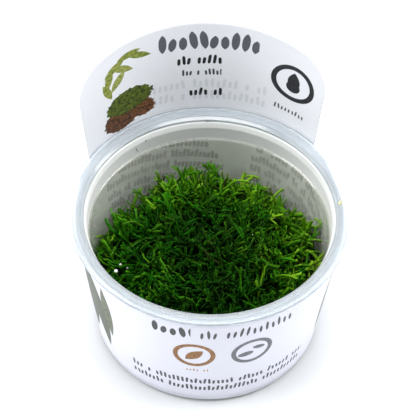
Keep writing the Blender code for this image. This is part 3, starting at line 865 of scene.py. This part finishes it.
def sleeve_mesh():
    """The card's points, its faces, their corners' print coordinates and their material numbers. It is a
    grid of columns by angle, closer near the tab's sides, and rows up the band and the tab, once for each
    face of the card, with a strip between them round the rim."""
    fine = np.concatenate([np.linspace(40, 52, 13)[:-1], np.linspace(52, TAB_HALF, 9)])
    half = np.concatenate([np.linspace(0, 40, 33)[:-1], fine, np.linspace(TAB_HALF, 180, 101)[1:]])
    angles = np.concatenate([-half[::-1], half[1:]])
    rows = np.arange(BAND_ROWS + TAB_ROWS + 1)
    low = SLEEVE_FOOT + (SLEEVE_TOP - SLEEVE_FOOT) * np.minimum(rows, BAND_ROWS) / BAND_ROWS
    rise = np.clip(rows - BAND_ROWS, 0, None)[:, None] / TAB_ROWS
    height = low[:, None] + (tab_top(np.clip(angles, -TAB_HALF, TAB_HALF)) - SLEEVE_TOP)[None] * rise
    radius = sleeve_radius(angles[None], height)
    turn = np.radians(angles)
    outer = np.stack([radius * np.sin(turn), radius * np.cos(turn), height], -1)
    inner = np.stack([(radius - CARD) * np.sin(turn), (radius - CARD) * np.cos(turn), height], -1)
    points = np.concatenate([outer.reshape(-1, 3), inner.reshape(-1, 3)])
    # The grid's last column is its first again, and above the band only the tab's columns have faces.
    index = np.arange(height.size).reshape(height.shape)
    in_tab = np.abs(angles[:-1] + angles[1:]) / 2 < TAB_HALF
    kept = (rows[:-1, None] < BAND_ROWS) | in_tab
    cells = np.stack([index[:-1, :-1], index[:-1, 1:], index[1:, 1:], index[1:, :-1]], -1)[kept]
    column = cells % len(angles)
    inside = np.where(column == len(angles) - 1, cells - column, cells)
    sides = np.concatenate([inside[:, [k, (k + 1) % 4]] for k in range(4)])
    _, which, counts = np.unique(np.sort(sides, axis=1), axis=0, return_inverse=True, return_counts=True)
    rim = sides[counts[which.ravel()] == 1]
    strip = np.concatenate([rim, rim[:, ::-1] + height.size], 1)
    every = np.concatenate([inside[:, ::-1], inside + height.size, strip])
    used, faces = np.unique(every, return_inverse=True)
    around, up = angles[column], height.ravel()[cells]
    front = np.where(around.mean(1, keepdims=True) < 0, around + 360, around)
    outside_print = np.stack([np.radians(180 - front) * PRINT_RADIUS, up], -1)[:, ::-1]
    inside_print = np.stack([np.radians(around) * PRINT_RADIUS, up], -1)
    print_mm = np.concatenate([outside_print, inside_print, np.zeros((len(strip), 4, 2))])
    material = np.repeat([0, 1, 2], [len(inside), len(inside), len(strip)])
    return points[used], faces.reshape(-1, 4), print_mm, material.astype(np.int32)


# What is printed on each face is laid out by "print_mm": millimetres round the card, and the height. Fine
# print is rows of short upright strokes, like reeds: left end, top, slope, bend, row height, rows, length,
# pitch of the strokes, their height and width, ink, and how strongly it shows. Drawings are ovals, ragged
# stones, blades and rings: centre, turn, half length, half width, and two inks that blend.
INSIDE_ROWS = (
    (-15.5, 95.3, 0.0, 0.0, 9.0, 1, 39.0, 3.2, 8.4, 2.5, "#43434d", 0.95),
    (-6.5, 84.0, 0.0, 0.0, 4.6, 1, 17.0, 1.6, 4.3, 1.0, "#111115", 1.0),
    (-5.0, 77.4, 0.0, 0.0, 3.2, 1, 13.0, 1.2, 3.0, 0.7, "#1b1b20", 0.95),
    (-6.0, 68.6, 0.0, 0.0, 4.0, 1, 16.0, 1.6, 3.7, 1.0, "#111115", 1.0),
    (-15.0, 74.0, 0.0, 0.0, 5.6, 2, 40.0, 1.9, 4.2, 1.1, "#7d8590", 0.2),
    (25.5, 69.0, -0.02, 0.0, 4.0, 1, 13.5, 1.3, 2.4, 0.6, "#1b1b20", 0.9),
    (-37.0, 50.6, -0.14, 0.0, 4.7, 8, 50.0, 1.5, 3.6, 1.28, "#07090b", 1.0),
    (20.0, 46.2, 0.0, -0.0055, 4.7, 8, 56.0, 1.5, 3.6, 1.28, "#07090b", 1.0),
    (-118.0, 50.0, 0.0, 0.0, 4.7, 9, 52.0, 1.5, 3.6, 1.28, "#07090b", 1.0),
    (88.0, 50.0, 0.0, 0.0, 4.7, 9, 46.0, 1.5, 3.6, 1.28, "#07090b", 1.0),
)
INSIDE_SHAPES = (
    ("blade", -27.5, 88.0, 0.5, 4.6, 1.5, "#6c7721", "#9a9e4f"),
    ("blade", -22.0, 91.2, 0.2, 4.4, 1.4, "#5f6e1c", "#929743"),
    ("blade", -24.6, 86.2, -0.5, 4.4, 1.5, "#657324", "#9fa358"),
    ("blade", -18.6, 89.4, -0.35, 4.4, 1.4, "#586718", "#8c9540"),
    ("blade", -29.8, 84.6, 1.3, 4.8, 1.5, "#5d6b1d", "#979d4d"),
    ("blade", -26.6, 81.6, 0.9, 4.6, 1.5, "#6c7726", "#a5a964"),
    ("blade", -31.0, 79.4, 1.9, 4.4, 1.4, "#5f6d1f", "#959b4b"),
    ("stone", -27.0, 64.0, 0.1, 7.0, 5.2, "#1f0c05", "#6e4220"),
    ("stone", -19.2, 65.0, -0.2, 5.0, 4.2, "#2a1208", "#7a4c28"),
    ("stone", -23.5, 70.6, 0.15, 8.8, 5.0, "#1e2e06", "#5e6c1c"),
    ("ring", 31.5, 79.0, 0.0, 7.0, 7.0, "#1b1b20", "#2c2c33"),
    ("oval", 31.5, 77.4, 0.0, 2.5, 2.5, "#1b1b20", "#2c2c33"),
    ("blade", 31.5, 79.6, 1.571, 4.4, 2.2, "#1b1b20", "#2c2c33"),
)
OUTSIDE_ROWS = (
    (-28.5, 52.6, 0.0, 0.0, 7.0, 1, 20.0, 3.3, 7.0, 2.2, "#2c2c33", 1.0),
    (-8.0, 52.6, 0.0, 0.0, 7.0, 1, 40.0, 2.3, 6.4, 1.05, "#33333a", 1.0),
    (-36.0, 18.2, 0.0, 0.0, 4.9, 2, 76.0, 1.75, 3.7, 0.95, "#3a3a42", 1.0),
    (-15.5, 26.4, 0.0, 0.0, 4.0, 1, 12.5, 1.3, 1.8, 0.6, "#a8783c", 0.9),
    (68.0, 46.0, 0.0, 0.0, 4.6, 7, 46.0, 1.5, 2.7, 0.7, "#4a4a52", 0.9),
    (-116.0, 46.0, 0.0, 0.0, 4.6, 7, 44.0, 1.5, 2.7, 0.7, "#4a4a52", 0.9),
)
BACK_ROWS = (
    (-22.0, 78.0, 0.0, 0.0, 6.2, 2, 46.0, 2.1, 3.6, 1.0, "#4a4a52", 0.9),
    (-24.0, 52.0, 0.0, 0.0, 4.6, 6, 50.0, 1.5, 2.7, 0.7, "#4a4a52", 0.9),
)
OUTSIDE_SHAPES = (
    ("ring", -9.6, 33.8, 0.0, 6.9, 6.9, "#74440c", "#9a681e"),
    ("blade", -9.6, 33.8, 0.8, 4.6, 2.3, "#74440c", "#9a681e"),
    ("ring", 11.8, 33.8, 0.0, 7.0, 7.0, "#55575e", "#6c6e76"),
    ("oval", 9.4, 32.4, 0.2, 3.0, 1.5, "#55575e", "#6c6e76"),
    ("oval", 14.2, 35.6, -0.2, 2.4, 1.2, "#55575e", "#6c6e76"),
    ("blade", -59.5, 34.0, 1.5, 24.0, 5.2, "#262c1a", "#4a5338"),
    ("blade", -53.0, 31.0, 1.72, 21.0, 4.6, "#2c3320", "#566044"),
    ("blade", -47.2, 35.0, 1.62, 15.0, 2.8, "#3a422e", "#6a7254"),
    ("blade", 52.5, 30.0, 1.5, 20.0, 3.4, "#2a3020", "#565f42"),
    ("blade", 58.0, 34.0, 1.66, 22.0, 4.0, "#323928", "#626b4c"),
)
RING_LINE = 0.13
LARGE_STROKE = 5.0


def stroke_rows(tree, x, y, block, row_height, rows, length, pitch, height, width):
    """The mask of rows of strokes below y = 0. A stroke's half width is its most times 1 - |t|³, with t
    from -1 at its foot to 1 at its tip, and small ones are blunter, with the sixth power. By chance each
    has its own height and lean, one in seven is left out, and each row ends up to 0.16 of its length
    early."""
    place = add_node(tree, "CombineXYZ", {"X": x, "Y": y, "Z": block}).outputs[0]
    cells = {0: place, 1: (pitch, row_height, 1.0)}
    cells = add_node(tree, "VectorMath", cells, operation="DIVIDE").outputs[0]
    cell = add_node(tree, "VectorMath", {0: cells}, operation="FLOOR").outputs[0]
    chance = add_node(tree, "TexWhiteNoise", {"Vector": cell}).outputs["Color"]
    picks = add_node(tree, "SeparateColor", {"Color": chance}).outputs
    row = add_node(tree, "SeparateXYZ", {0: cell}).outputs["Y"]
    seed = add_node(tree, "Math", {0: row, 1: 7.3 * block}, operation="ADD").outputs[0]
    row_chance = add_node(tree, "TexWhiteNoise", {"W": seed}, noise_dimensions="1D").outputs["Value"]
    within = add_node(tree, "VectorMath", {0: cells}, operation="FRACTION").outputs[0]
    within = {0: within, 1: (pitch, row_height, 0.0), 2: (-pitch / 2, 0.0, 0.0)}
    within = add_node(tree, "VectorMath", within, operation="MULTIPLY_ADD").outputs[0]
    aside, up, _ = add_node(tree, "SeparateXYZ", {0: within}).outputs
    known = {"x": x, "row": row, "aside": aside, "up": up, "row chance": row_chance}
    known.update({"tall": picks[0], "lean": picks[1], "kept": picks[2]})
    for name, operation, *terms in (
        ("tall", "GREATER_THAN", "tall", 0.62),
        ("middle", "MULTIPLY_ADD", "tall", 0.14 * height, 0.36 * height),
        ("lean", "SUBTRACT", "lean", 0.5),
        ("lean", "MULTIPLY", "lean", 0.3),
        ("above half", "SUBTRACT", "up", height / 2),
        ("lean", "MULTIPLY", "lean", "above half"),
        ("aside", "SUBTRACT", "aside", "lean"),
        ("aside", "ABSOLUTE", "aside"),
        ("along", "SUBTRACT", "up", "middle"),
        ("along", "DIVIDE", "along", "middle"),
        ("along", "ABSOLUTE", "along"),
        ("along", "POWER", "along", 3.0 if height > LARGE_STROKE else 6.0),
        ("stroke", "MULTIPLY_ADD", "aside", 2 / width, "along"),
        ("stroke", "LESS_THAN", "stroke", 1.0),
        ("kept", "GREATER_THAN", "kept", 0.14),
        ("in rows", "COMPARE", "row", -(rows + 1) / 2, rows / 2),
        ("after start", "GREATER_THAN", "x", 0.0),
        ("end", "MULTIPLY_ADD", "row chance", -0.16 * length, length),
        ("before end", "LESS_THAN", "x", "end"),
        ("mask", "MULTIPLY", "stroke", "kept"),
        ("mask", "MULTIPLY", "mask", "in rows"),
        ("mask", "MULTIPLY", "mask", "after start"),
        ("mask", "MULTIPLY", "mask", "before end"),
    ):
        inputs = {k: known.get(term, term) for k, term in enumerate(terms)}
        known[name] = add_node(tree, "Math", inputs, operation=operation).outputs[0]
    return known["mask"]


def printed(tree, colour, uv, rows, shapes):
    """The card's colour with one face's print laid over it. A blade is where x² + |y| < 1 in its own frame,
    an oval and a stone where the distance is under 1, and a ring where it is near 1. Noise frays the stones
    and blends the two inks."""
    grain = add_node(tree, "TexNoise", {"Vector": uv, "Scale": 1 / 1.1, "Detail": 5.0}).outputs["Fac"]
    tone = add_node(tree, "Math", {0: grain, 1: 4.2, 2: -0.38 * 4.2}, operation="MULTIPLY_ADD").outputs[0]
    ragged = add_node(tree, "Math", {0: grain, 1: 0.5, 2: -0.25}, operation="MULTIPLY_ADD").outputs[0]
    for kind, across, up, turn, half_length, half_width, ink, second in shapes:
        size = (half_length, half_width, 1.0)
        place = {"Vector": uv, "Location": (across, up, 0.0), "Rotation": (0.0, 0.0, turn), "Scale": size}
        own = add_node(tree, "Mapping", place, vector_type="TEXTURE").outputs[0]
        if kind == "blade":
            x, y, _ = add_node(tree, "SeparateXYZ", {0: own}).outputs
            aside = add_node(tree, "Math", {0: y}, operation="ABSOLUTE").outputs[0]
            away = add_node(tree, "Math", {0: x, 1: x, 2: aside}, operation="MULTIPLY_ADD").outputs[0]
        else:
            away = add_node(tree, "VectorMath", {0: own}, operation="LENGTH").outputs["Value"]
        if kind == "stone":
            away = add_node(tree, "Math", {0: away, 1: ragged}, operation="ADD").outputs[0]
        test = "COMPARE" if kind == "ring" else "LESS_THAN"
        mask = add_node(tree, "Math", {0: away, 1: 1.0, 2: RING_LINE}, operation=test).outputs[0]
        inks = {0: tone, 6: linear(ink), 7: linear(second)}
        inks = add_node(tree, "Mix", inks, data_type="RGBA").outputs[2]
        colour = add_node(tree, "Mix", {0: mask, 6: colour, 7: inks}, data_type="RGBA").outputs[2]
    for block, (left, top, slope, bend, *sizes, ink, strength) in enumerate(rows, 1):
        place = {"Vector": uv, "Location": (left, top, 0.0), "Rotation": (0.0, 0.0, math.atan(slope))}
        own = add_node(tree, "Mapping", place, vector_type="TEXTURE").outputs[0]
        x, y, _ = add_node(tree, "SeparateXYZ", {0: own}).outputs
        if bend:
            sag = add_node(tree, "Math", {0: x, 1: -bend}, operation="MULTIPLY").outputs[0]
            y = add_node(tree, "Math", {0: x, 1: sag, 2: y}, operation="MULTIPLY_ADD").outputs[0]
        mask = {0: stroke_rows(tree, x, y, block, *sizes), 1: strength}
        mask = add_node(tree, "Math", mask, operation="MULTIPLY").outputs[0]
        colour = add_node(tree, "Mix", {0: mask, 6: colour, 7: linear(ink)}, data_type="RGBA").outputs[2]
    return colour


def coated_card(name, light, dark, **values):
    """Clay-coated card: white, smooth and a little glossy, with a soft fibre grain 0.7 mm fine under the
    coat and slow waves 22 mm long, 8 times as high."""
    material, tree, shader = new_material(name, Subsurface_Weight=0.15, Subsurface_Scale=0.3 * MM, **values)
    shader.inputs["Subsurface Radius"].default_value = (1.0, 1.0, 1.0)
    place = add_node(tree, "TexCoord").outputs["Object"]
    fibres = {"Vector": place, "Scale": 1 / (0.7 * MM), "Detail": 3.0}
    fibres = add_node(tree, "TexNoise", fibres).outputs["Fac"]
    waves = {"Vector": place, "Scale": 1 / (22.0 * MM), "Detail": 1.0}
    waves = add_node(tree, "TexNoise", waves).outputs["Fac"]
    height = add_node(tree, "Math", {0: waves, 1: 8.0, 2: fibres}, operation="MULTIPLY_ADD").outputs[0]
    bump = add_node(tree, "Bump", {"Height": height, "Strength": 0.25, "Distance": 0.06 * MM})
    tree.links.new(bump.outputs["Normal"], shader.inputs["Normal"])
    tones = {0: fibres, 6: linear(dark), 7: linear(light)}
    tone = add_node(tree, "Mix", tones, data_type="RGBA").outputs[2]
    return material, tree, shader, tone


outer_card, tree, shader, paper = coated_card("printed_card_outside", "#e6e6f0", "#dfe0ec", Roughness=0.42)
uv = add_node(tree, "UVMap", uv_map="print_mm").outputs[0]
paper = printed(tree, paper, uv, OUTSIDE_ROWS, OUTSIDE_SHAPES)
# The back's rows cross the line where the outside's coordinates meet, so they measure from that line instead.
u, z, _ = add_node(tree, "SeparateXYZ", {0: uv}).outputs
hand = add_node(tree, "Math", {0: u}, operation="SIGN").outputs[0]
seam = add_node(tree, "Math", {0: hand, 1: math.pi * PRINT_RADIUS}, operation="MULTIPLY").outputs[0]
from_seam = add_node(tree, "Math", {0: seam, 1: u}, operation="SUBTRACT").outputs[0]
back_uv = add_node(tree, "CombineXYZ", {"X": from_seam, "Y": z}).outputs[0]
paper = printed(tree, paper, back_uv, BACK_ROWS, ())
tree.links.new(paper, shader.inputs["Base Color"])
inner_card, tree, shader, paper = coated_card("printed_card_inside", "#e2e4e9", "#dbdde2", Roughness=0.5)
uv = add_node(tree, "UVMap", uv_map="print_mm").outputs[0]
tree.links.new(printed(tree, paper, uv, INSIDE_ROWS, INSIDE_SHAPES), shader.inputs["Base Color"])
# The cut edge shows the card's own pulp: matt, and a little yellower than its coat.
card_edge = clouded("cut_card_edge", "#d9d8d0", "#f3f3ef", 0.4, Roughness=0.8)
points, quads, print_mm, material = sleeve_mesh()
sleeve = mesh_object("card_sleeve", points, (quads,), [outer_card, inner_card, card_edge])
sleeve.data.polygons.foreach_set("material_index", material)
sleeve.data.uv_layers.new(name="print_mm").data.foreach_set("uv", print_mm.astype(np.float32).ravel())
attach(sleeve, "root")
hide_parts("label_sleeve")

# Floor, light and camera
# A pale table and four softboxes in a white room, as for a shop photograph: one at each side, one above and a
# weak one behind. The camera looks down at the rim's middle from the photograph's angle.
VIEW_AZIMUTH = math.radians(-6.8)
VIEW_ELEVATION = math.radians(50.19)
VIEW_ROLL = math.radians(1.81)
VIEW_DISTANCE = 1.0
LENS = 238.4
AIM_ABOVE_RIM = 0.00082
TABLE_HALF = 3000.0
TABLE_HEIGHT = -0.05

# A matt pale table, which keeps the contact shadow faint.
pale_table = new_material("pale_table", Roughness=0.8, Base_Color=linear("#cfd1d3"))[0]
corners = [(TABLE_HALF * x, TABLE_HALF * y, TABLE_HEIGHT) for x, y in ((-1, -1), (1, -1), (1, 1), (-1, 1))]
floor = mesh_object("floor", corners, (np.array([[0, 1, 2, 3]]),), [pale_table])

world = bpy.data.worlds.new("white_room")
world.use_nodes = True
world.node_tree.nodes["Background"].inputs["Color"].default_value = linear("#fbfcff")
world.node_tree.nodes["Background"].inputs["Strength"].default_value = 0.41
bpy.context.scene.world = world
bpy.context.scene.view_settings.view_transform = "Standard"

# Each lamp is square and faces a point 50 mm above the table's middle: name, place and size in m, power in W.
SOFTBOXES = (
    ("left_softbox", (-0.97, 0.02, 0.8), 0.7, 12.0),
    ("right_softbox", (0.97, 0.02, 0.8), 0.7, 11.2),
    ("top_softbox", (0.0, -0.02, 1.15), 0.8, 16.5),
    ("back_softbox", (0.0, 1.2, 0.55), 0.8, 6.0),
)
for name, place, size, power in SOFTBOXES:
    light = bpy.data.lights.new(name, "AREA")
    light.size = size
    light.energy = power
    lamp = bpy.data.objects.new(name, light)
    bpy.context.scene.collection.objects.link(lamp)
    lamp.location = place
    lamp.rotation_mode = "QUATERNION"
    lamp.rotation_quaternion = (Vector(place) - Vector((0.0, 0.0, 0.05))).to_track_quat("Z", "Y")

camera_data = bpy.data.cameras.new("camera")
camera_data.lens = LENS
camera = bpy.data.objects.new("camera", camera_data)
bpy.context.scene.collection.objects.link(camera)
level = math.cos(VIEW_ELEVATION)
away = Vector((math.sin(VIEW_AZIMUTH) * level, -math.cos(VIEW_AZIMUTH) * level, math.sin(VIEW_ELEVATION)))
facing = away.to_track_quat("Z", "Y")
up = facing @ Vector((0.0, 1.0, 0.0))
rim_middle = Vector((0.0, 0.0, FLANGE_HEIGHT * MM))
camera.location = rim_middle + away * VIEW_DISTANCE + up * AIM_ABOVE_RIM
camera.rotation_mode = "QUATERNION"
camera.rotation_quaternion = facing @ Quaternion((0.0, 0.0, 1.0), VIEW_ROLL)
bpy.context.scene.camera = camera
